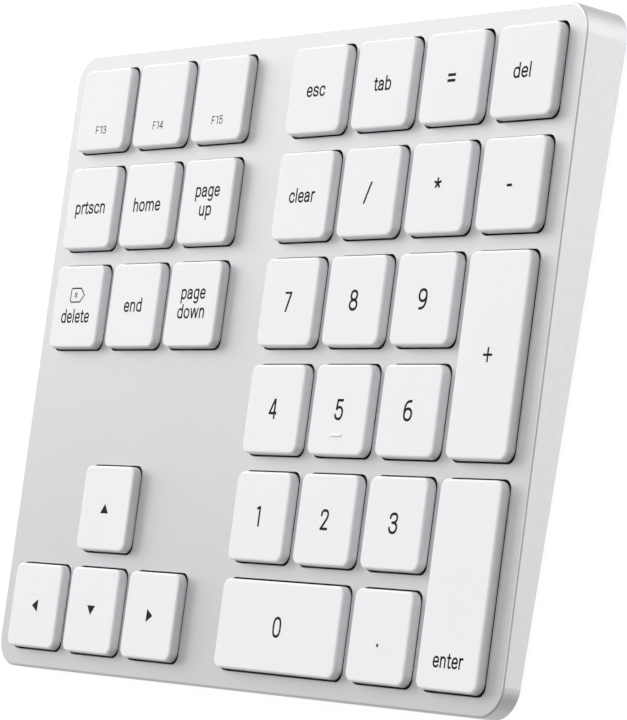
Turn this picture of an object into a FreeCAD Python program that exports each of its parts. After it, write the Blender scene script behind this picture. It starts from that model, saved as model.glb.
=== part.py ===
import FreeCAD, Part
import math
import os

# Wireless extended numeric keypad with thirty-four scissor keys.
#
# Design frame used while modelling (millimetres):
#   origin  centre of the case's top face
#   +X      right, +Y rear (away from the user), +Z out of the top face
# The top face is tilted by a small angle because the case is a wedge, thin at
# the front. Everything is turned and moved at the end into the final frame:
#   origin  on the table under the middle of the bounding box, +Z up.

V = FreeCAD.Vector

# ---------------------------------------------------------------- dimensions
PITCH = 19.0             # key pitch in both directions
CASE_W = 149.8           # case width (X)
CASE_D = 117.9           # case depth along the top face (Y)
CASE_R = 5.4             # plan radius of the case corners
EDGE_R = 0.40            # rounding of the case's top outer edge
H_FRONT = 3.42           # height of the case wall at the front
H_REAR = 8.98            # height of the case wall at the rear
SHEET_T = 1.0            # thickness of the case's top
WALL_T = 1.2             # thickness of the case's side walls
BREAK = 0.05             # bevel around each key opening
FOOT_H = 1.0             # how far the feet stand below the case wall

COL_X = [-62.06, -43.06, -24.06, 5.29, 24.29, 43.29, 62.29]   # key columns
ROW_Y = [47.60, 28.60, 9.60, -9.40, -28.40, -47.40]           # key rows
OPEN_A = 16.5            # size of a single key opening
OPEN_R = 1.7             # corner radius of the openings

CAP_TOP = 1.70           # height of the key faces above the case
CAP_BOT = -0.10          # lower rim of the keycap skirts
CAP_A0 = 15.89           # keycap size at its lower rim
CAP_A1 = 15.70           # keycap size at its face, before the edge rounding
CAP_R0 = 2.03            # keycap corner radius at its rim
CAP_R1 = 1.48            # keycap corner radius at its face
CAP_EDGE = 0.42          # rounding between face and sides
CAP_ROOF = 0.95          # thickness of the keycap's top
CAP_WALL = 1.10          # thickness of the keycap's skirt
TRAVEL = 1.2             # key travel

PLATE_TOP = -2.20        # top of the steel support plate
PLATE_T = 0.40
LAYER_T = 0.08           # thickness of each membrane layer
MEM_TOP = PLATE_TOP + 3 * LAYER_T

ROD_R = 0.40             # scissor axle radius
Z_LOW = -1.45            # height of the axles held by the plate
Z_HIGH = 0.25            # height of the axles held by the keycap
ROD_V = 4.5              # distance of the axles from the key's centre
WIRE_R = 0.35            # stabiliser wire radius
WIRE_U = 13.2            # half length of the stabiliser's long bar
WIRE_V1 = 5.9            # bar's distance from the key's centre line
WIRE_V0 = -1.1           # hinge line's distance from the key's centre line

SLOPE = (H_REAR - H_FRONT) / CASE_D
TILT = math.atan(SLOPE)  # tilt of the top face

COVER_GAP = 0.10         # gap all round the bottom cover
COVER_IN = 0.10          # how far the cover sits above the wall's lower rim
COVER_T = 0.70           # bottom cover thickness

# key name: column, row, columns spanned, rows spanned
KEYS = [
    ("key_f13", 0, 0, 1, 1), ("key_f14", 1, 0, 1, 1), ("key_f15", 2, 0, 1, 1),
    ("key_escape", 3, 0, 1, 1), ("key_tab", 4, 0, 1, 1),
    ("key_equals", 5, 0, 1, 1), ("key_backspace", 6, 0, 1, 1),
    ("key_print_screen", 0, 1, 1, 1), ("key_home", 1, 1, 1, 1),
    ("key_page_up", 2, 1, 1, 1), ("key_clear", 3, 1, 1, 1),
    ("key_divide", 4, 1, 1, 1), ("key_multiply", 5, 1, 1, 1),
    ("key_minus", 6, 1, 1, 1),
    ("key_forward_delete", 0, 2, 1, 1), ("key_end", 1, 2, 1, 1),
    ("key_page_down", 2, 2, 1, 1), ("key_7", 3, 2, 1, 1),
    ("key_8", 4, 2, 1, 1), ("key_9", 5, 2, 1, 1), ("key_plus", 6, 2, 1, 2),
    ("key_4", 3, 3, 1, 1), ("key_5", 4, 3, 1, 1), ("key_6", 5, 3, 1, 1),
    ("key_arrow_up", 1, 4, 1, 1), ("key_1", 3, 4, 1, 1),
    ("key_2", 4, 4, 1, 1), ("key_3", 5, 4, 1, 1), ("key_enter", 6, 4, 1, 2),
    ("key_arrow_left", 0, 5, 1, 1), ("key_arrow_down", 1, 5, 1, 1),
    ("key_arrow_right", 2, 5, 1, 1), ("key_0", 3, 5, 2, 1),
    ("key_decimal", 5, 5, 1, 1),
]

GAP_X = [COL_X[0] + 9.5, COL_X[1] + 9.5, (COL_X[2] + COL_X[3]) / 2,
         COL_X[3] + 9.5, COL_X[4] + 9.5, COL_X[5] + 9.5]
GAP_Y = [y - 9.5 for y in ROW_Y[:5]]
CASE_SCREWS = [(GAP_X[0], GAP_Y[0]), (GAP_X[2], GAP_Y[1]), (GAP_X[5], GAP_Y[0]),
               (GAP_X[0], GAP_Y[4]), (GAP_X[2], GAP_Y[4]), (GAP_X[5], GAP_Y[3]),
               (GAP_X[4], GAP_Y[4])]
PLATE_SCREWS = [(GAP_X[0], GAP_Y[2]), (GAP_X[1], GAP_Y[1]), (GAP_X[1], GAP_Y[4]),
                (GAP_X[2], GAP_Y[2]), (GAP_X[3], GAP_Y[1]), (GAP_X[4], GAP_Y[2]),
                (GAP_X[3], GAP_Y[3]), (GAP_X[5], GAP_Y[1])]
BOARD_SCREWS = [(-45.5, 27.3), (-45.5, 54.0), (-7.6, 27.3), (-7.6, 47.0)]
BOSS_R = 1.7
SCREW_R = 0.70
SEAT_Z = -3.60           # case screw head seat
PORT_X, PORT_Z = -14.0, -5.1
PORT_W, PORT_H = 8.94, 3.26
SWITCH_X, SWITCH_Z = -34.0, -5.0
LIGHT_X, LIGHT_Z = -24.5, -4.4
BOARD_Z1, BOARD_T = -5.1, 0.8
BOARD = (-47.7, 24.9, -5.6, 57.2)      # x0, y0, x1, y1


def size_of(c, r, wc, wr):
    """Centre and spans of a key in the design frame."""
    x = (COL_X[c] + COL_X[c + wc - 1]) / 2
    y = (ROW_Y[r] + ROW_Y[r + wr - 1]) / 2
    return x, y, (wc - 1) * PITCH, (wr - 1) * PITCH


def base_z(y):
    """Height of the case wall's lower rim at y."""
    return -(H_REAR - (CASE_D / 2 - y) * SLOPE)


def rrect(w, h, r, z=0.0, cx=0.0, cy=0.0):
    """Rounded rectangle as a wire."""
    x0, x1, y0, y1 = cx - w / 2, cx + w / 2, cy - h / 2, cy + h / 2
    k = r * (1 - math.sqrt(0.5))
    L = Part.LineSegment
    A = Part.Arc
    es = [L(V(x0 + r, y0, z), V(x1 - r, y0, z)),
          A(V(x1 - r, y0, z), V(x1 - k, y0 + k, z), V(x1, y0 + r, z)),
          L(V(x1, y0 + r, z), V(x1, y1 - r, z)),
          A(V(x1, y1 - r, z), V(x1 - k, y1 - k, z), V(x1 - r, y1, z)),
          L(V(x1 - r, y1, z), V(x0 + r, y1, z)),
          A(V(x0 + r, y1, z), V(x0 + k, y1 - k, z), V(x0, y1 - r, z)),
          L(V(x0, y1 - r, z), V(x0, y0 + r, z)),
          A(V(x0, y0 + r, z), V(x0 + k, y0 + k, z), V(x0 + r, y0, z))]
    return Part.Wire([e.toShape() for e in es])


def circ(x, y, r, z):
    return Part.Wire([Part.makeCircle(r, V(x, y, z))])


def plate(outer, holes, h):
    """Flat sheet from an outer wire and hole wires, extruded upwards by h."""
    f = Part.makeFace([outer] + holes, "Part::FaceMakerBullseye") if holes else Part.Face(outer)
    s = f.extrude(V(0, 0, h))
    assert s.isValid()
    return s.Solids[0]


def box(x0, y0, z0, x1, y1, z1):
    return Part.makeBox(x1 - x0, y1 - y0, z1 - z0, V(x0, y0, z0))


def cyl(x, y, z0, z1, r):
    return Part.makeCylinder(r, z1 - z0, V(x, y, z0), V(0, 0, 1))


def prism_x(pts, x0, x1):
    """Polygon of (y, z) points extruded along X."""
    w = Part.makePolygon([V(x0, y, z) for y, z in pts] + [V(x0, *pts[0])])
    return Part.Face(w).extrude(V(x1 - x0, 0, 0))


def below(dz):
    """Large wedge of space under the plane dz above the wall's lower rim."""
    y0, y1 = -90.0, 90.0
    return prism_x([(y0, base_z(y0) + dz), (y1, base_z(y1) + dz), (y1, -40), (y0, -40)], -100, 100)


def fuse(shapes):
    s = shapes[0].multiFuse(shapes[1:]) if len(shapes) > 1 else shapes[0]
    return s.removeSplitter()


def one(s):
    """The shape as its single solid."""
    assert len(s.Solids) == 1, len(s.Solids)
    return s.Solids[0]


def spin(s, deg, x=0.0, y=0.0):
    """Copy turned about the vertical through the origin, then moved."""
    t = s.copy()
    m = FreeCAD.Matrix()
    m.rotateZ(math.radians(deg))
    m.move(V(x, y, 0))
    return t.transformed(m, copy=True)


# ---------------------------------------------------------------- keycaps
def keycap(lu, lv, bar=False):
    """Keycap centred on the origin. lu, lv lengthen it along X and Y."""
    w0 = rrect(CAP_A0 + lu, CAP_A0 + lv, CAP_R0, CAP_BOT)
    w1 = rrect(CAP_A1 + lu, CAP_A1 + lv, CAP_R1, CAP_TOP)
    s = Part.makeLoft([w0, w1], True, True)
    edges = [e for e in s.Edges if min(v.Z for v in e.Vertexes) > CAP_TOP - 1e-4]
    s = s.makeFillet(CAP_EDGE, edges)
    roof = CAP_TOP - CAP_ROOF
    a = CAP_A0 - 2 * CAP_WALL
    b = CAP_A1 - 2 * CAP_WALL
    h = Part.makeLoft([rrect(a + lu, a + lv, 0.9, CAP_BOT - 0.01),
                       rrect(b + lu, b + lv, 0.8, roof)], True, True)
    s = s.cut(h)
    # clips that hold the scissor's upper axles, and the stabiliser on long keys
    turn = 90 if lv > lu else 0
    parts = []
    for sx in (-1, 1):
        for sy in (-1, 1):
            c = box(-0.6, -0.75, roof - 1.0, 0.6, 0.75, roof + 0.2)
            c.translate(V(sx * 3.6, sy * ROD_V, 0))
            g0 = 0.46
            slot = 0.25 if sy < 0 else 0.0
            bore = Part.makeCylinder(g0, 2, V(sx * 3.6 - 1, sy * ROD_V, Z_HIGH), V(1, 0, 0))
            if slot:
                bore2 = Part.makeCylinder(g0, 2, V(sx * 3.6 - 1, sy * ROD_V + sy * 0.12, Z_HIGH), V(1, 0, 0))
                mid = box(sx * 3.6 - 1, -ROD_V - 0.12, Z_HIGH - g0, sx * 3.6 + 1, -ROD_V, Z_HIGH + g0)
                bore = bore.fuse([bore2, mid])
            mouth = box(sx * 3.6 - 1, sy * ROD_V - 0.3, roof - 1.2, sx * 3.6 + 1, sy * ROD_V + 0.3, Z_HIGH)
            parts.append(c.cut(bore.fuse(mouth)))
    if lu or lv:
        for su in (-1, 1):
            c = box(-0.7, 5.1, roof - 1.0, 0.7, 7.2, roof + 0.2)
            c.translate(V(su * 9.5, 0, 0))
            g = WIRE_R + 0.09
            b1 = Part.makeCylinder(g, 3, V(su * 9.5 - 1.5, WIRE_V1, Z_HIGH), V(1, 0, 0))
            b2 = Part.makeCylinder(g, 3, V(su * 9.5 - 1.5, WIRE_V1 + 0.2, Z_HIGH), V(1, 0, 0))
            mid = box(su * 9.5 - 1.5, WIRE_V1, Z_HIGH - g, su * 9.5 + 1.5, WIRE_V1 + 0.2, Z_HIGH + g)
            parts.append(c.cut(b1.fuse([b2, mid])))
    if turn:
        parts = [spin(p, turn) for p in parts]
    s = fuse([s] + parts)
    if bar:
        t = rrect(3.0, 0.42, 0.2, CAP_TOP - 0.1)
        t = Part.Face(t).extrude(V(0, 0, 0.28))
        t = t.makeFillet(0.12, [e for e in t.Edges if min(v.Z for v in e.Vertexes) > CAP_TOP + 0.17])
        t.translate(V(0, -4.45, 0))
        s = s.fuse(t).removeSplitter()
    return one(s)


CAP = {}
caps = {}
for name, c, r, wc, wr in KEYS:
    x, y, lu, lv = size_of(c, r, wc, wr)
    k = (lu, lv, name == "key_5")
    if k not in CAP:
        CAP[k] = keycap(*k)
    caps[name] = spin(CAP[k], 0, x, y)

# ---------------------------------------------------------------- scissors
rise = Z_HIGH - Z_LOW
zmid = (Z_HIGH + Z_LOW) / 2


def scissor(x_in, x_out, up):
    """Scissor frame: two side bars joined by two axles. up is the sign of
    the end that the keycap holds."""
    bars = []
    for sx in (-1, 1):
        xa, xb = (x_in, x_out) if sx > 0 else (-x_out, -x_in)
        pts = []
        for yy, zz in ((-ROD_V * up, Z_LOW), (ROD_V * up, Z_HIGH)):
            pts.append((yy, zz))
        (ya, za), (yb, zb) = pts
        poly = [(ya, za - 0.36), (yb, zb - 0.36), (yb, zb + 0.36), (ya, za + 0.36)]
        bars.append(prism_x(poly, xa, xb))
    rods = [Part.makeCylinder(ROD_R, 2 * x_out, V(-x_out, -ROD_V * up, Z_LOW), V(1, 0, 0)),
            Part.makeCylinder(ROD_R, 2 * x_out, V(-x_out, ROD_V * up, Z_HIGH), V(1, 0, 0))]
    return bars + rods


outer = fuse(scissor(5.5, 6.3, 1))
for sx in (-1, 1):
    outer = outer.cut(Part.makeCylinder(0.33, 2.0, V(5.0 * sx - (0 if sx > 0 else 2.0), 0, zmid), V(1, 0, 0)))
outer = one(outer)
inner = scissor(4.3, 5.1, -1)
for sx in (-1, 1):
    inner.append(Part.makeCylinder(0.26, 1.3, V(4.7 if sx > 0 else -6.0, 0, zmid), V(1, 0, 0)))
inner = one(fuse(inner))

# rubber dome: a hollow cone with a plunger
prof = [(0, 0.72), (1.5, 0.72), (1.75, 0.5), (2.75, -1.66), (3.2, -1.66), (3.2, MEM_TOP),
        (2.4, MEM_TOP), (1.35, 0.1), (0.7, 0.1), (0.7, -0.95), (0, -0.95)]
w = Part.makePolygon([V(a, 0, b) for a, b in prof] + [V(0, 0, 0.72)])
dome = one(Part.Face(w).revolve(V(0, 0, 0), V(0, 0, 1), 360))

outers, inners, domes = [], [], []
for name, c, r, wc, wr in KEYS:
    x, y, lu, lv = size_of(c, r, wc, wr)
    t = 90 if lv > lu else 0
    outers.append(spin(outer, t, x, y))
    inners.append(spin(inner, t, x, y))
    domes.append(spin(dome, 0, x, y))


# ---------------------------------------------------------------- stabilisers
def rod(p, q, r):
    d = q.sub(p)
    return Part.makeCylinder(r, d.Length, p, d)


bar_a, bar_b = V(-WIRE_U, WIRE_V1, Z_HIGH), V(WIRE_U, WIRE_V1, Z_HIGH)
foot_a, foot_b = V(-WIRE_U, WIRE_V0, Z_LOW), V(WIRE_U, WIRE_V0, Z_LOW)
wire_bits = [rod(bar_a, bar_b, WIRE_R), rod(bar_a, foot_a, WIRE_R), rod(bar_b, foot_b, WIRE_R),
             rod(foot_a, V(-WIRE_U + 1.3, WIRE_V0, Z_LOW), WIRE_R),
             rod(foot_b, V(WIRE_U - 1.3, WIRE_V0, Z_LOW), WIRE_R)]
for p in (bar_a, bar_b, foot_a, foot_b):
    wire_bits.append(Part.makeSphere(WIRE_R, p))
wire = one(fuse(wire_bits))
ARM = math.hypot(WIRE_V1 - WIRE_V0, rise)
WIRE_SWING = math.asin(rise / ARM) - math.asin((rise - TRAVEL) / ARM)   # radians over the travel

stabs = {}
for name, c, r, wc, wr in KEYS:
    x, y, lu, lv = size_of(c, r, wc, wr)
    if lu or lv:
        stabs[name] = spin(wire, 90 if lv > lu else 0, x, y)

# ---------------------------------------------------------------- plate and membrane
HOOK_W = 1.1


def hook(u, v, sv):
    """Bent tab over an axle at (u, v); its leg stands on the side sv."""
    leg = box(u - HOOK_W / 2, v + sv * 0.50 - (0 if sv > 0 else 0.35), PLATE_TOP - 0.2,
              u + HOOK_W / 2, v + sv * 0.50 + (0.35 if sv > 0 else 0), -0.76)
    y0, y1 = sorted((v + sv * 0.85, v - sv * 0.15))
    lip = box(u - HOOK_W / 2, y0, -1.0, u + HOOK_W / 2, y1, -0.76)
    return leg.fuse(lip)


hooks, windows = [], []
for name, c, r, wc, wr in KEYS:
    x, y, lu, lv = size_of(c, r, wc, wr)
    t = 90 if lv > lu else 0
    for u in (-1.7, 1.7):
        for sv in (-1, 1):
            hooks.append(spin(hook(u, sv * ROD_V, sv), t, x, y))
            windows.append((u, sv * (ROD_V + 0.35), 1.6, 1.5, t, x, y))
    if lu or lv:
        for su in (-1, 1):
            hooks.append(spin(hook(su * (WIRE_U - 0.85), WIRE_V0, -1), t, x, y))
            windows.append((su * (WIRE_U - 0.85), WIRE_V0 - 0.35, 1.6, 1.5, t, x, y))


def window_wires(z):
    ws = []
    for u, v, du, dv, t, x, y in windows:
        if t:
            u, v, du, dv = -v, u, dv, du
        ws.append(rrect(du, dv, 0.2, z, x + u, y + v))
    return ws


PW0, PW1 = -CASE_W / 2 + WALL_T + 0.35, CASE_W / 2 - WALL_T - 0.35
PD0, PD1 = -56.4, 56.6
pcx, pcy = (PW0 + PW1) / 2, (PD0 + PD1) / 2
tail_x0, tail_x1 = -30.0, -18.0
slot_y = GAP_Y[1] + 0.55


def small_windows(z):
    """Openings beside each tab, where it was bent out of the plate."""
    ws = []
    for u, v, du, dv, t, x, y in windows:
        sv = 1 if v > 0 else -1
        if abs(v) < 3:
            sv = -1
        v2 = v - sv * 0.45
        du2, dv2 = 1.3, 0.8
        if t:
            u, v2, du2, dv2 = -v2, u, dv2, du2
        ws.append(rrect(du2, dv2, 0.15, z, x + u, y + v2))
    return ws


holes = [circ(x, y, SCREW_R + 0.15, PLATE_TOP - PLATE_T) for x, y in CASE_SCREWS + PLATE_SCREWS]
slot = [rrect(tail_x1 - tail_x0 + 1.0, 0.9, 0.3, PLATE_TOP - PLATE_T, (tail_x0 + tail_x1) / 2, slot_y)]
sheet = plate(rrect(PW1 - PW0, PD1 - PD0, 3.5, PLATE_TOP - PLATE_T, pcx, pcy),
              holes + slot + small_windows(PLATE_TOP - PLATE_T), PLATE_T)
support_plate = one(sheet.multiFuse(hooks).removeSplitter())


def layer(i, extra=None):
    z = PLATE_TOP + i * LAYER_T
    hs = [circ(x, y, BOSS_R + 0.15, z) for x, y in CASE_SCREWS + PLATE_SCREWS]
    hs += window_wires(z)
    if extra:
        hs += [circ(d.BoundBox.Center.x, d.BoundBox.Center.y, 1.9, z) for d in domes]
    return plate(rrect(PW1 - PW0 - 0.4, PD1 - PD0, 3.5, z, pcx, pcy), hs, LAYER_T)


membrane_bottom = layer(0)
membrane_spacer = one(layer(1, True))
membrane_top = one(layer(2))

# the bottom layer's tail goes down through the slot to the board's connector
ty = slot_y
zt = PLATE_TOP
tail_pts = [(ty - 0.20, zt + 0.06), (ty - 0.20, zt), (ty - 0.04, zt - 0.9), (ty + 2.6, -4.30), (ty + 6.4, -4.30),
            (ty + 6.4, -4.22), (ty + 2.64, -4.22), (ty + 0.06, zt - 0.9), (ty - 0.08, zt), (ty - 0.08, zt + 0.06)]
slit = [rrect(tail_x1 - tail_x0 + 0.8, 0.5, 0.2, zt - 0.1, (tail_x0 + tail_x1) / 2, ty + 0.17)]
tail = prism_x(tail_pts, tail_x0, tail_x1)
membrane_bottom = membrane_bottom.cut(Part.Face(slit[0]).extrude(V(0, 0, 0.5)))
membrane_bottom = one(membrane_bottom.fuse(tail).removeSplitter())

# ---------------------------------------------------------------- top case
open_wires = []
for name, c, r, wc, wr in KEYS:
    x, y, lu, lv = size_of(c, r, wc, wr)
    open_wires.append(rrect(OPEN_A + lu, OPEN_A + lv, OPEN_R, -SHEET_T, x, y))
top = plate(rrect(CASE_W, CASE_D, CASE_R, -SHEET_T), open_wires, SHEET_T)
inside = rrect(CASE_W - 2 * WALL_T, CASE_D - 2 * WALL_T, CASE_R - WALL_T, -12.0)
wall = plate(rrect(CASE_W, CASE_D, CASE_R, -12.0), [inside], 12.0 - SHEET_T).cut(below(0))
bosses = [cyl(x, y, PLATE_TOP, -SHEET_T, BOSS_R) for x, y in CASE_SCREWS + PLATE_SCREWS]
top_case = top.multiFuse([wall] + bosses).removeSplitter()
rim = []
for e in top_case.Edges:
    bb = e.BoundBox
    if bb.ZMin > -1e-4:
        cx, cy = e.CenterOfMass.x, e.CenterOfMass.y
        if abs(cx) > CASE_W / 2 - 2.2 or abs(cy) > CASE_D / 2 - 2.2:
            rim.append(e)
top_case = top_case.makeFillet(EDGE_R, rim)
brk = []
for e in top_case.Edges:
    bb = e.BoundBox
    if bb.ZMin > -1e-4 and bb.ZMax < 1e-4:
        cx, cy = e.CenterOfMass.x, e.CenterOfMass.y
        if abs(cx) < CASE_W / 2 - 2.2 and abs(cy) < CASE_D / 2 - 2.2:
            brk.append(e)
top_case = top_case.makeChamfer(BREAK, brk)
cuts = [cyl(x, y, PLATE_TOP - 1, -0.45, SCREW_R + 0.02) for x, y in CASE_SCREWS + PLATE_SCREWS]


def stadium_y(w, h, x, z, y0, y1):
    """Stadium-shaped bar along Y: w wide, h high, centred at x, z."""
    r = h / 2
    a = w / 2 - r
    L = Part.LineSegment
    A = Part.Arc
    es = [L(V(x - a, y0, z - r), V(x + a, y0, z - r)),
          A(V(x + a, y0, z - r), V(x + a + r, y0, z), V(x + a, y0, z + r)),
          L(V(x + a, y0, z + r), V(x - a, y0, z + r)),
          A(V(x - a, y0, z + r), V(x - a - r, y0, z), V(x - a, y0, z - r))]
    return Part.Face(Part.Wire([e.toShape() for e in es])).extrude(V(0, y1 - y0, 0))


yr = CASE_D / 2
cuts.append(stadium_y(PORT_W + 0.36, PORT_H + 0.36, PORT_X, PORT_Z, yr - 3, yr + 3))
cuts.append(stadium_y(6.6, 2.4, SWITCH_X, SWITCH_Z, yr - 3, yr + 3))
cuts.append(Part.makeCylinder(0.65, 6, V(LIGHT_X, yr - 3, LIGHT_Z), V(0, 1, 0)))
top_case = one(top_case.cut(cuts))

# ---------------------------------------------------------------- bottom cover
cw = CASE_W - 2 * WALL_T - 2 * COVER_GAP
cd = CASE_D - 2 * WALL_T - 2 * COVER_GAP
blank = plate(rrect(cw, cd, CASE_R - WALL_T - COVER_GAP, -14.0), [], 14.0)
slab = blank.cut(below(COVER_IN))
above = prism_x([(-90, base_z(-90) + COVER_IN + COVER_T), (90, base_z(90) + COVER_IN + COVER_T),
                 (90, 20), (-90, 20)], -100, 100)
slab = slab.cut(above)
PILLAR_R, HEAD_R = 2.5, 1.45
adds, subs = [], []
for x, y in CASE_SCREWS:
    adds.append(cyl(x, y, base_z(y) + 0.5, PLATE_TOP - PLATE_T, PILLAR_R))
    subs.append(cyl(x, y, -14, SEAT_Z, HEAD_R))
    subs.append(cyl(x, y, -14, 0, SCREW_R + 0.15))
for x, y in BOARD_SCREWS:
    adds.append(cyl(x, y, base_z(y) + 0.5, BOARD_Z1 - BOARD_T, 1.6))
    subs.append(cyl(x, y, BOARD_Z1 - BOARD_T - 1.05, 0, 0.50))
# stiffening ribs under the battery bay and along the rear
for x in (-2.6, 45.4):
    adds.append(box(x - 0.4, 22.5, -8.0, x + 0.4, 50.0, -4.6))
bottom_cover = slab.multiFuse(adds).cut(below(COVER_IN)).cut(subs).removeSplitter()
# shallow seats for the feet, square to the cover
FOOT_R = 4.6
FOOT_SEAT = 0.35
FEET = [(-64.5, 46.5), (64.5, 46.5), (-64.5, -49.0), (64.5, -49.0)]
ct, st = math.cos(TILT), math.sin(TILT)
down = V(0, -st, -ct)            # downwards on the table, in the design frame
feet = []
for x, y in FEET:
    p = V(x, y, base_z(y))
    seat_top = p - down * (COVER_IN + FOOT_SEAT)
    seat = Part.makeCylinder(FOOT_R + 0.06, 3.0, seat_top, down)
    bottom_cover = bottom_cover.cut(seat)
    f = Part.makeCylinder(FOOT_R, COVER_IN + FOOT_SEAT + FOOT_H, seat_top, down)
    low = [e for e in f.Edges if len(e.Vertexes) == 1 and abs((e.CenterOfMass - seat_top).dot(down) - (COVER_IN + FOOT_SEAT + FOOT_H)) < 1e-3]
    feet.append(f.makeFillet(0.30, low))
bottom_cover = one(bottom_cover)


# ---------------------------------------------------------------- fasteners
def screw(x, y, z_seat, r, length, head_r, head_h, up):
    """Small pan-head screw. up +1: the shank points up from the seat."""
    d = V(0, 0, up)
    shank = Part.makeCylinder(r, length, V(x, y, z_seat), d)
    tip = [e for e in shank.Edges if len(e.Vertexes) == 1 and abs((e.CenterOfMass - V(x, y, z_seat)).dot(d) - length) < 1e-3]
    shank = shank.makeChamfer(min(0.2, r * 0.4), tip)
    head = Part.makeCylinder(head_r, head_h, V(x, y, z_seat), -d)
    rim = [e for e in head.Edges if len(e.Vertexes) == 1 and abs((e.CenterOfMass - V(x, y, z_seat)).dot(-d) - head_h) < 1e-3]
    head = head.makeFillet(min(0.2, head_h * 0.4), rim)
    s = shank.fuse(head)
    # cross recess
    a, t, h = head_r * 0.62, head_r * 0.17, head_h * 0.62
    zf = z_seat - up * head_h
    z0, z1 = sorted((zf, zf + up * h))
    s = s.cut(box(x - a, y - t, z0 - (0.01 if up > 0 else 0), x + a, y + t, z1 + (0.01 if up < 0 else 0)))
    s = s.cut(box(x - t, y - a, z0 - (0.01 if up > 0 else 0), x + t, y + a, z1 + (0.01 if up < 0 else 0)))
    return one(s.removeSplitter())


case_screws = [screw(x, y, SEAT_Z, SCREW_R, 2.9, 1.3, 0.6, 1) for x, y in CASE_SCREWS]
plate_screws = [screw(x, y, PLATE_TOP - PLATE_T, SCREW_R, 2.0, 1.3, 0.5, 1) for x, y in PLATE_SCREWS]
board_screws = [screw(x, y, BOARD_Z1, 0.48, 1.7, 1.2, 0.5, -1) for x, y in BOARD_SCREWS]

# ---------------------------------------------------------------- electronics
bx0, by0, bx1, by1 = BOARD
bcx, bcy = (bx0 + bx1) / 2, (by0 + by1) / 2
board = plate(rrect(bx1 - bx0, by1 - by0, 1.0, BOARD_Z1 - BOARD_T, bcx, bcy),
              [circ(x, y, 0.7, BOARD_Z1 - BOARD_T) for x, y in BOARD_SCREWS], BOARD_T)
board = board.cut(box(PORT_X - PORT_W / 2 - 0.1, 51.3, -9, PORT_X + PORT_W / 2 + 0.1, 60, 0))
board = board.cut(box(SWITCH_X - 3.6, 54.9, -9, SWITCH_X + 3.6, 60, 0))
chips = [box(-24.0, 40.0, BOARD_Z1 - 0.01, -19.0, 45.0, BOARD_Z1 + 0.8),
         box(-16.5, 30.5, BOARD_Z1 - 0.01, -13.0, 33.5, BOARD_Z1 + 0.7),
         box(-41.0, 43.0, BOARD_Z1 - 0.01, -38.6, 44.6, BOARD_Z1 + 0.6),
         box(-33.0, 43.5, BOARD_Z1 - 0.01, -31.2, 44.4, BOARD_Z1 + 0.5)]
control_board = one(board.multiFuse(chips).removeSplitter())

module = box(-41.0, 29.4, BOARD_Z1, -28.5, 38.9, BOARD_Z1 + 1.5)
module = module.makeFillet(0.25, [e for e in module.Edges if e.BoundBox.ZMin > BOARD_Z1 + 1.4])

bat = box(0.0, 22.6, PLATE_TOP - PLATE_T - 0.10 - 2.8, 43.0, 49.5, PLATE_TOP - PLATE_T - 0.10)
battery = bat.makeFillet(0.9, [e for e in bat.Edges if e.BoundBox.YLength > 20 or e.BoundBox.XLength > 40])

# two leads from the battery to the board
leads = []
for y_l in (41.4, 43.0):
    path = [V(0.6, y_l, -4.3), V(-3.4, y_l, -4.3), V(-6.4, y_l, -4.75), V(-9.2, y_l, -4.75)]
    bits = []
    for p, q in zip(path[:-1], path[1:]):
        bits.append(rod(p, q, 0.32))
    for p in path[1:-1]:
        bits.append(Part.makeSphere(0.32, p))
    leads.append(one(fuse(bits)))
# the battery's edge is notched where the leads start; the rib is notched too
for y_l in (41.4, 43.0):
    battery = battery.cut(Part.makeCylinder(0.34, 1.4, V(-0.2, y_l, -4.3), V(1, 0, 0)))
battery = one(battery)
bottom_cover = one(bottom_cover.cut(box(-3.6, 40.4, -4.95, -1.6, 44.0, -3.0)))

shell_o = stadium_y(PORT_W, PORT_H, PORT_X, PORT_Z, yr - 7.55, yr - 0.25)
shell_i = stadium_y(PORT_W - 0.6, PORT_H - 0.6, PORT_X, PORT_Z, yr - 7.6, yr)
usb_shell = one(shell_o.cut(shell_i))
base = stadium_y(PORT_W - 0.64, PORT_H - 0.64, PORT_X, PORT_Z, yr - 7.5, yr - 6.3)
tongue = box(PORT_X - 3.34, yr - 6.4, PORT_Z - 0.35, PORT_X + 3.34, yr - 1.0, PORT_Z + 0.35)
tongue = tongue.makeFillet(0.2, [e for e in tongue.Edges if e.BoundBox.YMin > yr - 1.1])
usb_tongue = one(base.fuse(tongue).removeSplitter())

sw = box(SWITCH_X - 3.5, 54.95, SWITCH_Z - 1.3, SWITCH_X + 3.5, 57.55, SWITCH_Z + 1.3)
sw = sw.cut(box(SWITCH_X - 2.6, 56.0, SWITCH_Z - 0.75, SWITCH_X + 2.6, 58, SWITCH_Z + 0.75))
switch_body = one(sw)
kx0 = SWITCH_X - 2.45
knob = box(kx0, 56.1, SWITCH_Z - 0.6, kx0 + 2.4, 58.55, SWITCH_Z + 0.6)
knob = knob.makeFillet(0.2, [e for e in knob.Edges if e.BoundBox.YMin > 58.5])
ridges = [box(kx0 + 0.55 + 0.5 * i, 58.3, SWITCH_Z - 1, kx0 + 0.75 + 0.5 * i, 58.7, SWITCH_Z + 1) for i in range(3)]
switch_knob = one(knob.cut(ridges))
SWITCH_TRAVEL = 2.4

pipe = Part.makeCylinder(0.60, 3.2, V(LIGHT_X, yr - 3.3, LIGHT_Z), V(0, 1, 0))
pipe = pipe.makeFillet(0.15, [e for e in pipe.Edges if len(e.Vertexes) == 1 and e.BoundBox.YMin > yr - 0.3])
flange = box(LIGHT_X - 1.0, yr - 3.6, BOARD_Z1, LIGHT_X + 1.0, yr - 1.6, LIGHT_Z + 0.9)
light_pipe = one(pipe.fuse(flange).removeSplitter())

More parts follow.
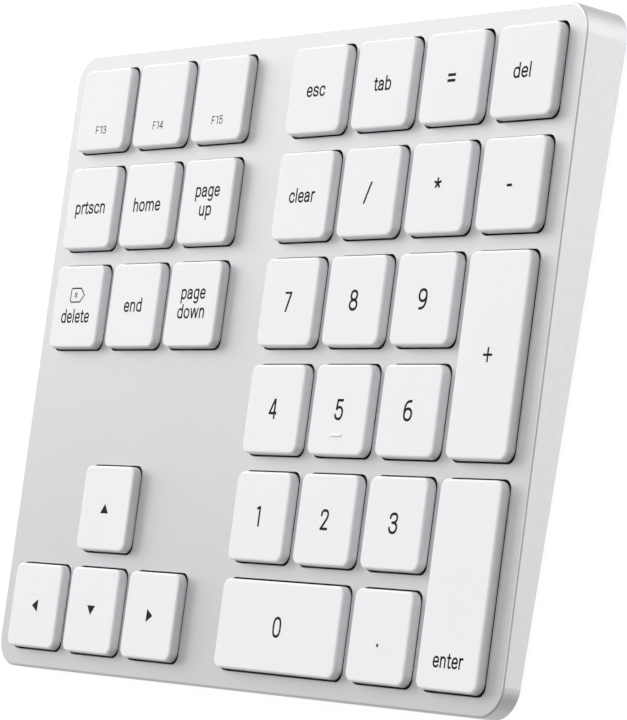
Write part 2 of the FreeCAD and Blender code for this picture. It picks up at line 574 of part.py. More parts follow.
connector = box(tail_x0 - 1.4, ty + 5.9, BOARD_Z1, tail_x1 + 1.4, ty + 9.1, BOARD_Z1 + 1.3)
connector = connector.cut(box(tail_x0 - 0.1, ty + 5.8, -4.34, tail_x1 + 0.1, ty + 6.6, -4.18))
connector = one(connector)

# ---------------------------------------------------------------- final frame
y_rear = CASE_D / 2 * ct + H_REAR * st
y_front = (-CASE_D / 2 + EDGE_R) * ct + EDGE_R * st - EDGE_R
SHIFT_Y = -(y_rear + y_front) / 2
z_rim = CASE_D / 2 * st - H_REAR * ct
SHIFT_Z = FOOT_H - z_rim
M = FreeCAD.Matrix()
M.rotateX(TILT)
M.move(V(0, SHIFT_Y, SHIFT_Z))

nodes = {
    "top_case": [top_case],
    "bottom_cover": [bottom_cover],
    "support_plate": [support_plate],
    "membrane_top_layer": [membrane_top],
    "membrane_spacer_layer": [membrane_spacer],
    "membrane_bottom_layer": [membrane_bottom],
    "rubber_domes": domes,
    "scissor_outer_frames": outers,
    "scissor_inner_frames": inners,
    "stabiliser_wire_0": [stabs["key_0"]],
    "stabiliser_wire_plus": [stabs["key_plus"]],
    "stabiliser_wire_enter": [stabs["key_enter"]],
    "control_board": [control_board],
    "wireless_module": [module],
    "battery_pack": [battery],
    "battery_leads": leads,
    "usb_c_shell": [usb_shell],
    "usb_c_tongue": [usb_tongue],
    "power_switch_body": [switch_body],
    "power_switch_knob": [switch_knob],
    "status_light_pipe": [light_pipe],
    "membrane_connector": [connector],
    "rubber_feet": feet,
    "case_screws": case_screws,
    "plate_screws": plate_screws,
    "board_screws": board_screws,
}
for name in caps:
    nodes[name] = [caps[name]]

os.makedirs("parts", exist_ok=True)
assert len(nodes) <= 60, len(nodes)
for name, solids in nodes.items():
    out = [s.transformed(M, copy=True) for s in solids]
    for s in out:
        assert s.isValid(), name
    shape = out[0] if len(out) == 1 else Part.makeCompound(out)
    shape.exportStep("parts/%s.step" % name)
print("nodes", len(nodes), "tilt", round(math.degrees(TILT), 4), "shift", round(SHIFT_Y, 4), round(SHIFT_Z, 4),
      "swing", round(WIRE_SWING, 5))
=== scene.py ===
import math

import bpy
import numpy as np
from mathutils import Matrix, Vector
from mathutils.geometry import tessellate_polygon


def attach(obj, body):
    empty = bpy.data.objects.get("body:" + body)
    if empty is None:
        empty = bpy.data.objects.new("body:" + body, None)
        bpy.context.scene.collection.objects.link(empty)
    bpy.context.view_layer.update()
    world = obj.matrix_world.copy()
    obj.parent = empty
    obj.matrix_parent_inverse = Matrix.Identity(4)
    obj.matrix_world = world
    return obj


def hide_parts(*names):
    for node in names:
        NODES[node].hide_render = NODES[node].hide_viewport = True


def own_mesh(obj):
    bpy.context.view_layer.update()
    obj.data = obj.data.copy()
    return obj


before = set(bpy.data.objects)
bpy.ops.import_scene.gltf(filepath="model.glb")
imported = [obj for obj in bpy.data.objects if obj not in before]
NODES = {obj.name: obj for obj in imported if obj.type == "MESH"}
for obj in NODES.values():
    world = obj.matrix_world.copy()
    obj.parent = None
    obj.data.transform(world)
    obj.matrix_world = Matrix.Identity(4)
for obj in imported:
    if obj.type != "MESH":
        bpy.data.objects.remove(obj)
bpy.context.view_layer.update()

scene = bpy.context.scene

# ------------------------------------------------------------------ frame
# The face of the case is tilted about X and lifted; legends are laid out in
# the face's own plan (millimetres, origin at its centre, +Y to the rear).
TILT = math.atan((8.98 - 3.42) / 117.9)
SHIFT_Y, SHIFT_Z = -0.2207063, 7.1931173
KEY_FACE = 1.70
COL_X = [-62.06, -43.06, -24.06, 5.29, 24.29, 43.29, 62.29]
ROW_Y = [47.60, 28.60, 9.60, -9.40, -28.40, -47.40]


def to_row(p):
    """Points (n, 3) in the face's frame, mm, to the row frame, metres."""
    p = np.asarray(p, float).reshape(-1, 3)
    c, s = math.cos(TILT), math.sin(TILT)
    return np.stack([p[:, 0], p[:, 1] * c - p[:, 2] * s + SHIFT_Y,
                     p[:, 1] * s + p[:, 2] * c + SHIFT_Z], 1) / 1000.0


# ------------------------------------------------------------------ lettering
# A light sans-serif of plain strokes. Each glyph is a list of strokes; a
# stroke is a list of points in units of the x-height (lower case) or of the
# figure height (figures). Strokes have flat ends and round joints.
def curve(points, n=7):
    """Smooth line through the points (centripetal Catmull-Rom)."""
    p = [np.array(q, float) for q in points]
    p = [2 * p[0] - p[1]] + p + [2 * p[-1] - p[-2]]
    out = []
    for i in range(1, len(p) - 2):
        p0, p1, p2, p3 = p[i - 1:i + 3]
        t0 = 0.0
        t1 = t0 + max(np.linalg.norm(p1 - p0), 1e-6) ** 0.5
        t2 = t1 + max(np.linalg.norm(p2 - p1), 1e-6) ** 0.5
        t3 = t2 + max(np.linalg.norm(p3 - p2), 1e-6) ** 0.5
        for k in range(n):
            t = t1 + (t2 - t1) * k / n
            a1 = (t1 - t) / (t1 - t0) * p0 + (t - t0) / (t1 - t0) * p1
            a2 = (t2 - t) / (t2 - t1) * p1 + (t - t1) / (t2 - t1) * p2
            a3 = (t3 - t) / (t3 - t2) * p2 + (t - t2) / (t3 - t2) * p3
            b1 = (t2 - t) / (t2 - t0) * a1 + (t - t0) / (t2 - t0) * a2
            b2 = (t3 - t) / (t3 - t1) * a2 + (t - t1) / (t3 - t1) * a3
            out.append((t2 - t) / (t2 - t1) * b1 + (t - t1) / (t2 - t1) * b2)
    out.append(p[-2])
    return [tuple(q) for q in out]


def oval(cx, cy, rx, ry, a0=0.0, a1=360.0, power=2.35, n=44):
    """Arc of a slightly squared ellipse, angles in degrees."""
    out = []
    for k in range(n + 1):
        a = math.radians(a0 + (a1 - a0) * k / n)
        c, s = math.cos(a), math.sin(a)
        out.append((cx + rx * math.copysign(abs(c) ** (2 / power), c),
                    cy + ry * math.copysign(abs(s) ** (2 / power), s)))
    return out


W1 = 0.190                     # stroke width of the lower case, in x-heights
H1 = W1 / 2
TOP, BASE = 1 - H1 + 0.012, H1 - 0.012
LOWER = {
    "a": (1.03, [curve([(0.175, 0.70), (0.215, 0.82), (0.33, 0.90), (0.485, TOP), (0.65, 0.885), (0.765, 0.79),
                        (0.79, 0.64)]) + [(0.79, 0.20), (0.815, 0.0)],
                 curve([(0.79, 0.575), (0.60, 0.572), (0.42, 0.55), (0.245, 0.475), (0.165, 0.365), (0.163, 0.25),
                        (0.21, 0.145), (0.31, 0.09), (0.43, BASE), (0.58, 0.115), (0.71, 0.20), (0.79, 0.30)])]),
    "b": (1.06, [[(0.21, 0.0), (0.21, 1.40)],
                 curve([(0.21, 0.66), (0.29, 0.82), (0.42, 0.90), (0.565, TOP), (0.73, 0.875), (0.845, 0.75),
                        (0.89, 0.50), (0.845, 0.25), (0.73, 0.125), (0.565, BASE), (0.42, 0.10), (0.29, 0.18),
                        (0.21, 0.34)])]),
    "c": (0.99, [curve([(0.855, 0.665), (0.80, 0.805), (0.68, 0.89), (0.53, TOP), (0.35, 0.875), (0.215, 0.745),
                        (0.165, 0.50), (0.215, 0.255), (0.35, 0.125), (0.53, BASE), (0.68, 0.11), (0.80, 0.19),
                        (0.855, 0.315)])]),
    "d": (1.07, [[(0.86, 0.0), (0.86, 1.40)],
                 curve([(0.86, 0.66), (0.78, 0.82), (0.65, 0.90), (0.505, TOP), (0.34, 0.875), (0.225, 0.75),
                        (0.175, 0.50), (0.225, 0.25), (0.34, 0.125), (0.505, BASE), (0.65, 0.10), (0.78, 0.18),
                        (0.86, 0.34)])]),
    "e": (1.00, [[(0.17, 0.505), (0.845, 0.505)],
                 curve([(0.845, 0.505), (0.825, 0.70), (0.74, 0.85), (0.62, 0.905), (0.52, TOP), (0.35, 0.87),
                        (0.215, 0.74), (0.165, 0.505), (0.215, 0.25), (0.35, 0.12), (0.55, BASE), (0.73, 0.125),
                        (0.845, 0.235)])]),
    "g": (1.06, [[(0.85, 1.0), (0.85, 0.0)] + curve([(0.85, -0.02), (0.815, -0.19), (0.70, -0.305), (0.52, -0.34),
                                                     (0.36, -0.315), (0.225, -0.225)])[1:],
                 curve([(0.85, 0.66), (0.77, 0.82), (0.645, 0.90), (0.505, TOP), (0.34, 0.875), (0.225, 0.75),
                        (0.175, 0.50), (0.225, 0.25), (0.34, 0.125), (0.505, BASE), (0.645, 0.10), (0.77, 0.18),
                        (0.85, 0.34)])]),
    "h": (1.04, [[(0.215, 0.0), (0.215, 1.40)],
                 curve([(0.215, 0.62), (0.285, 0.79), (0.405, 0.89), (0.555, TOP), (0.715, 0.87), (0.80, 0.76),
                        (0.825, 0.60)]) + [(0.825, 0.0)]]),
    "l": (0.46, [[(0.23, 0.0), (0.23, 1.40)]]),
    "m": (1.66, [[(0.215, 0.0), (0.215, 1.0)],
                 curve([(0.215, 0.63), (0.28, 0.80), (0.39, 0.89), (0.525, TOP), (0.68, 0.875), (0.77, 0.78),
                        (0.80, 0.64)]) + [(0.80, 0.0)],
                 curve([(0.79, 0.62), (0.85, 0.79), (0.97, 0.89), (1.12, TOP), (1.29, 0.875), (1.39, 0.77),
                        (1.42, 0.61)]) + [(1.42, 0.0)]]),
    "n": (1.045, [[(0.215, 0.0), (0.215, 1.0)],
                  curve([(0.215, 0.62), (0.285, 0.79), (0.405, 0.89), (0.555, TOP), (0.715, 0.87), (0.80, 0.76),
                         (0.825, 0.60)]) + [(0.825, 0.0)]]),
    "o": (1.08, [oval(0.54, 0.5, 0.375, 0.5 - BASE, 0, 360, 2.2)]),
    "p": (1.06, [[(0.21, -0.41), (0.21, 1.0)],
                 curve([(0.21, 0.66), (0.29, 0.82), (0.42, 0.90), (0.565, TOP), (0.73, 0.875), (0.845, 0.75),
                        (0.89, 0.50), (0.845, 0.25), (0.73, 0.125), (0.565, BASE), (0.42, 0.10), (0.29, 0.18),
                        (0.21, 0.34)])]),
    "r": (0.64, [[(0.215, 0.0), (0.215, 1.0)],
                 curve([(0.215, 0.60), (0.27, 0.76), (0.37, 0.87), (0.50, 0.91), (0.64, 0.895)])]),
    "s": (0.975, [curve([(0.80, 0.705), (0.745, 0.82), (0.63, 0.895), (0.48, TOP), (0.32, 0.89), (0.20, 0.81),
                         (0.18, 0.70), (0.24, 0.605), (0.38, 0.55), (0.55, 0.505), (0.71, 0.445), (0.805, 0.35),
                         (0.80, 0.225), (0.70, 0.125), (0.50, BASE), (0.33, 0.105), (0.205, 0.18),
                         (0.145, 0.305)])]),
    "t": (0.66, [[(0.30, 1.26), (0.30, 0.32)] + curve([(0.30, 0.29), (0.325, 0.155), (0.41, 0.09), (0.51, BASE),
                                                       (0.615, 0.098)])[1:],
                 [(0.03, 0.915), (0.60, 0.915)]]),
    "u": (1.04, [[(0.82, 1.0), (0.82, 0.0)],
                 [(0.21, 1.0)] + curve([(0.21, 0.40), (0.235, 0.24), (0.325, 0.125), (0.475, BASE), (0.64, 0.115),
                                        (0.76, 0.21), (0.82, 0.37)])]),
    "w": (1.42, [[(0.09, 1.10), (0.385, 0.03), (0.70, 1.05), (0.715, 1.05), (1.03, 0.03), (1.325, 1.10)]]),
}
CLIPS = {"w": (0.0, 1.0)}

W2 = 0.130                     # stroke width of the figures, in figure heights
H2 = W2 / 2
T2, B2 = 1 - H2 + 0.008, H2 - 0.008
FIGURES = {
    "0": (0.66, [oval(0.33, 0.5, 0.33 - H2, 0.5 - B2, 0, 360, 2.55, 60)]),
    "1": (0.36, [[(0.31, 0.0), (0.31, 1.0)], [(0.0, 0.862), (0.31, 0.950)]]),
    "2": (0.66, [curve([(0.06, 0.695), (0.085, 0.83), (0.19, 0.925), (0.33, T2), (0.48, 0.92), (0.57, 0.82),
                        (0.578, 0.69), (0.53, 0.575), (0.42, 0.435), (0.27, 0.26), (0.085, B2 + 0.004)])
                 + [(0.64, B2 + 0.004)]]),
    "3": (0.66, [curve([(0.06, 0.735), (0.09, 0.85), (0.20, 0.93), (0.325, T2), (0.47, 0.925), (0.565, 0.83),
                        (0.565, 0.685), (0.48, 0.575), (0.34, 0.530), (0.22, 0.528)]),
                 curve([(0.24, 0.528), (0.38, 0.52), (0.515, 0.465), (0.588, 0.36), (0.590, 0.22), (0.49, 0.095),
                        (0.325, B2), (0.17, 0.085), (0.07, 0.18), (0.045, 0.285)])]),
    "4": (0.69, [[(0.455, 1.06), (0.455, 0.96), (0.045, 0.285), (0.69, 0.285)], [(0.50, 0.0), (0.50, 1.0)]]),
    "5": (0.66, [[(0.615, 0.955), (0.17, 0.955)] + [(0.125, 0.515)],
                 curve([(0.125, 0.515), (0.215, 0.595), (0.35, 0.625), (0.495, 0.585), (0.588, 0.47), (0.600, 0.31),
                        (0.545, 0.145), (0.43, 0.062), (0.325, B2), (0.19, 0.075), (0.09, 0.16), (0.055, 0.265)])]),
    "6": (0.66, [curve([(0.54, 0.948), (0.36, 0.940), (0.20, 0.86), (0.11, 0.71), (0.075, 0.52), (0.075, 0.32)]),
                 oval(0.335, 0.327, 0.262, 0.327 - B2, 0, 360, 2.15, 52)]),
    "7": (0.66, [[(0.03, 0.957), (0.645, 0.957)], [(0.60, 0.957), (0.19, -0.05)]]),
    "8": (0.66, [oval(0.33, 0.745, 0.232, 0.745 - 0.53, 0, 360, 2.15, 48),
                 oval(0.33, 0.287, 0.275, 0.287 - B2, 0, 360, 2.15, 52)]),
    "9": (0.66, [curve([(0.12, 0.052), (0.30, 0.060), (0.46, 0.14), (0.55, 0.29), (0.585, 0.48), (0.585, 0.68)]),
                 oval(0.325, 0.673, 0.262, 0.327 - B2, 0, 360, 2.15, 52)]),
    "F": (0.60, [[(0.09, 0.0), (0.09, 1.0)], [(0.09, 0.95), (0.56, 0.95)], [(0.09, 0.49), (0.50, 0.49)]]),
}
FIG_CLIPS = {"4": (0.0, 1.0), "7": (0.0, 1.0)}


def sdf_stroke(gx, gy, pts, half, closed=False):
    """Signed distance to a stroke with flat ends and round joints."""
    d = np.full(gx.shape, 1e9)
    n = len(pts) - 1
    for i in range(n):
        (ax, ay), (bx, by) = pts[i], pts[i + 1]
        ux, uy = bx - ax, by - ay
        length = math.hypot(ux, uy)
        if length < 1e-9:
            continue
        ux, uy = ux / length, uy / length
        along = (gx - ax) * ux + (gy - ay) * uy
        across = np.abs((gx - ax) * uy - (gy - ay) * ux) - half
        ends = np.abs(along - length / 2) - length / 2
        box = np.minimum(np.maximum(across, ends), 0) + np.hypot(np.maximum(across, 0), np.maximum(ends, 0))
        d = np.minimum(d, box)
        if i > 0 or closed:
            d = np.minimum(d, np.hypot(gx - ax, gy - ay) - half)
    return d


def text_shapes(text, size, figures, weight):
    """Strokes of a line of text starting at x 0 on baseline 0: a list of
    (points, half stroke, closed, clip)."""
    out, x = [], 0.0
    table, clips, stroke = (FIGURES, FIG_CLIPS, W2) if figures else (LOWER, CLIPS, W1)
    for ch in text:
        adv, strokes = table[ch]
        for st in strokes:
            pts = [(x + px * size, py * size) for px, py in st]
            closed = math.dist(st[0], st[-1]) < 1e-6
            clip = clips.get(ch)
            clip = None if clip is None else (clip[0] * size, clip[1] * size)
            out.append((pts, stroke * size * weight / 2, closed, clip))
        x += adv * size + (0.21 * size if figures else 0.0)
    return out


def extent(shapes):
    xs = [px for pts, h, c, cl in shapes for px, py in pts]
    h = max(h for pts, h, c, cl in shapes)
    return min(xs) - h, max(xs) + h


def fit(shapes, x0, x1, y):
    """Moves and stretches a line of text so that it spans x0..x1."""
    a, b = extent(shapes)
    h = max(s[1] for s in shapes)
    k = ((x1 - x0) - 2 * h) / ((b - a) - 2 * h)
    return [([(x0 + h + (px - a - h) * k, py + y) for px, py in pts], hh, c,
             None if cl is None else (cl[0] + y, cl[1] + y)) for pts, hh, c, cl in shapes]


def bar(x0, y0, x1, y1, half):
    return ([(x0, y0), (x1, y1)], half, False, None)


def area(loop):
    """Signed area, positive for anticlockwise."""
    x, y = np.array(loop).T
    return float(np.dot(x, np.roll(y, -1)) - np.dot(np.roll(x, -1), y)) / 2


def field(shapes, solids, step):
    """Distance field of all strokes and filled convex shapes on a grid."""
    xs = [p[0] for s in shapes for p in s[0]] + [p[0] for s in solids for p in s]
    ys = [p[1] for s in shapes for p in s[0]] + [p[1] for s in solids for p in s]
    m = 0.45
    gx, gy = np.meshgrid(np.arange(min(xs) - m, max(xs) + m, step), np.arange(min(ys) - m, max(ys) + m, step))
    d = np.full(gx.shape, 1e9)
    for pts, half, closed, clip in shapes:
        s = sdf_stroke(gx, gy, pts, half, closed)
        if clip:
            s = np.maximum(s, np.maximum(gy - clip[1], clip[0] - gy))
        d = np.minimum(d, s)
    for poly in solids:
        if area(poly) < 0:
            poly = poly[::-1]
        s = np.full(gx.shape, -1e9)
        for (ax, ay), (bx, by) in zip(poly, poly[1:] + poly[:1]):
            length = math.hypot(bx - ax, by - ay)
            s = np.maximum(s, ((gx - ax) * (by - ay) - (gy - ay) * (bx - ax)) / length)
        d = np.minimum(d, s)
    return gx, gy, d


EDGE_CASES = {1: [(3, 0)], 2: [(0, 1)], 3: [(3, 1)], 4: [(1, 2)], 5: [(3, 0), (1, 2)], 6: [(0, 2)], 7: [(3, 2)],
              8: [(2, 3)], 9: [(2, 0)], 10: [(0, 1), (2, 3)], 11: [(2, 1)], 12: [(1, 3)], 13: [(1, 0)], 14: [(0, 3)]}


def outlines(gx, gy, d):
    """Closed outlines of the region d < 0, by marching squares."""
    ny, nx = d.shape
    inside = d < 0
    code = (inside[:-1, :-1] * 1 + inside[:-1, 1:] * 2 + inside[1:, 1:] * 4 + inside[1:, :-1] * 8)
    nxt = {}
    point = {}

    def cross(j0, i0, j1, i1):
        a, b = d[j0, i0], d[j1, i1]
        t = a / (a - b)
        t = min(max(t, 0.02), 0.98)
        return (gx[j0, i0] + t * (gx[j1, i1] - gx[j0, i0]), gy[j0, i0] + t * (gy[j1, i1] - gy[j0, i0]))

    for j, i in zip(*np.nonzero((code > 0) & (code < 15))):
        j, i = int(j), int(i)
        keys = [("h", j, i), ("v", j, i + 1), ("h", j + 1, i), ("v", j, i)]
        for a, b in EDGE_CASES[int(code[j, i])]:
            ka, kb = keys[a], keys[b]
            nxt[ka] = kb
            for k in (ka, kb):
                if k not in point:
                    point[k] = cross(k[1], k[2], k[1], k[2] + 1) if k[0] == "h" else cross(k[1], k[2], k[1] + 1, k[2])
    loops = []
    while nxt:
        start = next(iter(nxt))
        loop, k = [], start
        while k in nxt:
            loop.append(point[k])
            k = nxt.pop(k)
        if len(loop) > 8:
            loops.append(loop)
    return loops


def simplify(loop, tol):
    """Douglas-Peucker on a closed loop."""
    p = np.array(loop)
    n = len(p)
    far = int(np.argmax(np.hypot(*(p - p[0]).T)))

    def run(a, b):
        if b - a < 2:
            return [a]
        q = p[np.arange(a, b + 1) % n]
        e = q[-1] - q[0]
        length = math.hypot(*e)
        if length < 1e-9:
            dist = np.hypot(*(q - q[0]).T)
        else:
            dist = np.abs((q[:, 0] - q[0, 0]) * e[1] - (q[:, 1] - q[0, 1]) * e[0]) / length
        k = int(np.argmax(dist))
        if dist[k] < tol:
            return [a]
        return run(a, a + k) + run(a + k, b)

    keep = run(0, far) + run(far, n)
    return [tuple(p[k % n]) for k in keep]


def within(p, loop):
    """Whether a point lies inside a loop."""
    x, y = np.array(loop).T
    x2, y2 = np.roll(x, -1), np.roll(y, -1)
    hit = ((y > p[1]) != (y2 > p[1])) & (p[0] < (x2 - x) * (p[1] - y) / np.where(y2 == y, 1e-12, y2 - y) + x)
    return int(hit.sum()) % 2 == 1


def legend_mesh(name, loops, cx, cy, z0, z1):
    """Closed raised print from outlines, in the row frame."""
    if sum(area(loop) for loop in loops) < 0:
        loops = [loop[::-1] for loop in loops]
    outer = [k for k, loop in enumerate(loops) if area(loop) > 0]
    groups = {k: [k] for k in outer}
    for k, loop in enumerate(loops):
        if k not in groups:
            home = min((o for o in outer if within(loop[0], loops[o])), key=lambda o: area(loops[o]))
            groups[home].append(k)
    first = np.cumsum([0] + [len(loop) for loop in loops])
    flat = [(x, y) for loop in loops for x, y in loop]
    tris = []
    for ks in groups.values():
        index = [int(first[k]) + i for k in ks for i in range(len(loops[k]))]
        for t in tessellate_polygon([[Vector((x, y, 0)) for x, y in loops[k]] for k in ks]):
            tris.append(tuple(index[i] for i in t))
    filled = sum(abs(area([flat[i] for i in t])) for t in tris)
    assert abs(filled - sum(area(loop) for loop in loops)) < 0.02 * filled + 1e-3, name
    n = len(flat)
    low = [(cx + x, cy + y, z0) for x, y in flat]
    high = [(cx + x, cy + y, z1) for x, y in flat]
    faces = []
    for t in tris:
        a, b, c = t
        (ax, ay), (bx, by), (qx, qy) = flat[a], flat[b], flat[c]
        if (bx - ax) * (qy - ay) - (by - ay) * (qx - ax) < 0:
            b, c = c, b
        faces.append((n + a, n + b, n + c))
        faces.append((a, c, b))
    start = 0
    for loop in loops:
        m = len(loop)
        for k in range(m):
            a, b = start + k, start + (k + 1) % m
            faces.append((a, b, n + b, n + a))
        start += m
    mesh = bpy.data.meshes.new(name)
    mesh.from_pydata([tuple(v) for v in to_row(low + high)], [], faces)
    mesh.validate()
    mesh.update()
    return mesh


def word(text, x0, x1, y, size=1.9, weight=1.0):
    return fit(text_shapes(text, size, False, weight), x0, x1, y)


def figure(text, x0, x1, y, size=3.6, weight=1.0):
    return fit(text_shapes(text, size, True, weight), x0, x1, y)


def triangle(pts):
    return [tuple(p) for p in pts]


def tag_icon():
    """Outlined tag pointing right, with a small cross in it."""
    h = 0.125
    top, bot = 3.50, 0.86
    out = [(1.00, bot)] + [(-1.75, bot)] + curve([(-1.75, bot), (-2.12, bot + 0.10), (-2.26, bot + 0.45)], 5)[1:]
    out += [(-2.26, top - 0.45)] + curve([(-2.26, top - 0.45), (-2.12, top - 0.10), (-1.75, top)], 5)[1:]
    out += [(1.00, top), (2.30, (top + bot) / 2), (1.00, bot)]
    cross = [bar(-0.93, 1.72, -0.07, 2.68, 0.11), bar(-0.93, 2.68, -0.07, 1.72, 0.11)]
    return [(out, h, True, None)] + cross


def asterisk():
    out = []
    for k in range(5):
        a = math.radians(90 + 72 * k)
        out.append(bar(0, 0.76, 0.96 * math.cos(a), 0.76 + 0.96 * math.sin(a), 0.215))
    out.append(([(0, 0.755), (0, 0.765), (0, 0.76)], 0.19, True, None))
    return out


DIG = (-1.2, 1.2, -1.8)
LEGENDS = {
    # key: (column centre, row centre, strokes, solids)
    "key_f13": ((0, 0), figure("F13", -1.60, 1.85, -4.68, 1.52, 0.94), []),
    "key_f14": ((1, 0), figure("F14", -1.55, 1.90, -4.68, 1.52, 0.94), []),
    "key_f15": ((2, 0), figure("F15", -1.55, 1.90, -4.68, 1.52, 0.94), []),
    "key_escape": ((3, 0), word("esc", -2.7, 2.7, -1.25), []),
    "key_tab": ((4, 0), word("tab", -2.55, 2.45, -1.25), []),
    "key_equals": ((5, 0), [bar(-1.05, 0.36, 1.05, 0.36, 0.25), bar(-1.05, -0.62, 1.05, -0.62, 0.25)], []),
    "key_backspace": ((6, 0), word("del", -2.75, 1.70, -1.25), []),
    "key_print_screen": ((0, 1), word("prtscn", -4.8, 5.1, -1.15), []),
    "key_home": ((1, 1), word("home", -4.2, 4.5, -1.25), []),
    "key_page_up": ((2, 1), word("page", -3.45, 4.05, 0.80) + word("up", -1.65, 2.10, -2.72), []),
    "key_clear": ((3, 1), word("clear", -3.75, 3.85, -1.25), []),
    "key_divide": ((4, 1), [([(-1.02, -2.42), (0.84, 1.98)], 0.22, False, (-2.10, 1.72))], []),
    "key_multiply": ((5, 1), asterisk(), []),
    "key_minus": ((6, 1), [bar(-0.72, -0.29, 0.62, -0.29, 0.23)], []),
    "key_forward_delete": ((0, 2), tag_icon() + word("delete", -4.60, 4.85, -3.12), []),
    "key_end": ((1, 2), word("end", -2.75, 2.95, -1.25), []),
    "key_page_down": ((2, 2), word("page", -3.60, 3.95, 0.90) + word("down", -4.10, 4.30, -2.65), []),
    "key_7": ((3, 2), figure("7", *DIG), []),
    "key_8": ((4, 2), figure("8", *DIG), []),
    "key_9": ((5, 2), figure("9", *DIG), []),
    "key_plus": ((6, 2.5), [bar(-1.17, -0.05, 1.17, -0.05, 0.205), bar(0.03, -1.30, 0.03, 1.22, 0.205)], []),
    "key_4": ((3, 3), figure("4", -1.25, 1.25, -1.8), []),
    "key_5": ((4, 3), figure("5", *DIG), []),
    "key_6": ((5, 3), figure("6", *DIG), []),
    "key_arrow_up": ((1, 4), [], [triangle([(-1.22, -0.98), (0.05, 0.80), (1.32, -0.98)])]),
    "key_1": ((3, 4), figure("1", -1.0, 0.30, -1.8), []),
    "key_2": ((4, 4), figure("2", -1.2, 1.25, -1.8), []),
    "key_3": ((5, 4), figure("3", *DIG), []),
    "key_enter": ((6, 4.5), word("enter", -3.9, 3.95, -13.65), []),
    "key_arrow_left": ((0, 5), [], [triangle([(-0.80, 0.0), (1.10, 1.20), (1.10, -1.20)])]),
    "key_arrow_down": ((1, 5), [], [triangle([(-1.22, 0.90), (1.32, 0.90), (0.05, -0.88)])]),
    "key_arrow_right": ((2, 5), [], [triangle([(-0.80, -1.20), (-0.80, 1.20), (1.10, 0.0)])]),
    "key_0": ((3.5, 5), figure("0", *DIG), []),
    "key_decimal": ((5, 5), [bar(-0.29, -1.49, 0.21, -1.49, 0.26)], []),
}


# ------------------------------------------------------------------ materials
class Graph:
    """Small helper for building a node tree."""

    def __init__(self, name):
        self.mat = bpy.data.materials.new(name)
        self.mat.use_nodes = True
        self.t = self.mat.node_tree
        self.t.nodes.clear()
        self.out = self.t.nodes.new("ShaderNodeOutputMaterial")
        self.bsdf = self.t.nodes.new("ShaderNodeBsdfPrincipled")
        self.link(self.bsdf.outputs[0], self.out.inputs["Surface"])
        self.coord = self.t.nodes.new("ShaderNodeTexCoord")

    def link(self, a, b):
        self.t.links.new(a, b)

    def node(self, kind, **values):
        n = self.t.nodes.new(kind)
        for k, v in values.items():
            setattr(n, k, v)
        return n

    def put(self, node, **values):
        for k, v in values.items():
            k = k.replace("_", " ")
            node.inputs[k].default_value = v
        return node

    def noise(self, scale, detail=3.0, rough=0.5, source="Object", stretch=None, distortion=0.0):
        n = self.node("ShaderNodeTexNoise")
        self.put(n, Scale=scale, Detail=detail, Roughness=rough, Distortion=distortion)
        src = self.coord.outputs[source]
        if stretch:
            m = self.node("ShaderNodeMapping")
            m.inputs["Scale"].default_value = stretch
            self.link(src, m.inputs["Vector"])
            src = m.outputs[0]
        self.link(src, n.inputs["Vector"])
        return n.outputs["Fac"]

    def span(self, value, a, b, c, d, smooth=False):
        """value from a..b mapped onto c..d."""
        n = self.node("ShaderNodeMapRange")
        if smooth:
            n.interpolation_type = "SMOOTHSTEP"
        self.link(value, n.inputs["Value"])
        for k, v in zip(("From Min", "From Max", "To Min", "To Max"), (a, b, c, d)):
            n.inputs[k].default_value = v
        return n.outputs["Result"]

    def math(self, op, a, b=None, c=None):
        n = self.node("ShaderNodeMath", operation=op)
        for i, v in enumerate((a, b, c)):
            if v is None:
                continue
            if isinstance(v, (int, float)):
                n.inputs[i].default_value = v
            else:
                self.link(v, n.inputs[i])
        return n.outputs[0]

    def mix(self, fac, a, b):
        n = self.node("ShaderNodeMix", data_type="RGBA")
        if isinstance(fac, (int, float)):
            n.inputs["Factor"].default_value = fac
        else:
            self.link(fac, n.inputs["Factor"])
        for key, v in (("A", a), ("B", b)):
            sock = [s for s in n.inputs if s.name == key and s.type == "RGBA"][0]
            if isinstance(v, tuple):
                sock.default_value = (*v, 1.0)
            else:
                self.link(v, sock)
        return [s for s in n.outputs if s.type == "RGBA"][0]

    def bump(self, height, strength, distance, normal=None):
        n = self.node("ShaderNodeBump")
        n.inputs["Strength"].default_value = strength
        n.inputs["Distance"].default_value = distance
        self.link(height, n.inputs["Height"])
        if normal is not None:
            self.link(normal, n.inputs["Normal"])
        return n.outputs[0]

    def colour(self, v):
        if isinstance(v, tuple):
            self.bsdf.inputs["Base Color"].default_value = (*v, 1.0)
        else:
            self.link(v, self.bsdf.inputs["Base Color"])

    def rough(self, v):
        if isinstance(v, (int, float)):
            self.bsdf.inputs["Roughness"].default_value = v
        else:
            self.link(v, self.bsdf.inputs["Roughness"])

    def normal(self, v):
        self.link(v, self.bsdf.inputs["Normal"])


def grey(v, tint=(1.0, 1.0, 1.0)):
    return tuple(v * t for t in tint)


def m_anodised():
    g = Graph("anodised_case")
    big = g.noise(26.0, 2.0, 0.5)
    fine = g.noise(5200.0, 2.0, 0.6)
    mid = g.noise(900.0, 3.0, 0.55)
    tone = g.math("ADD", g.span(big, 0.3, 0.7, -0.006, 0.006), g.span(fine, 0.25, 0.75, -0.012, 0.012))
    fac = g.math("ADD", tone, 0.5)
    g.colour(g.mix(fac, grey(0.307, (0.991, 1.0, 1.018)), grey(0.949, (0.991, 1.0, 1.018))))
    g.bsdf.inputs["Metallic"].default_value = 1.0
    g.rough(g.math("ADD", g.span(mid, 0.3, 0.7, 0.455, 0.495), g.span(big, 0.3, 0.7, -0.01, 0.01)))
    n = g.bump(fine, 0.10, 0.00003)
    g.normal(g.bump(mid, 0.05, 0.00004, n))
    return g.mat


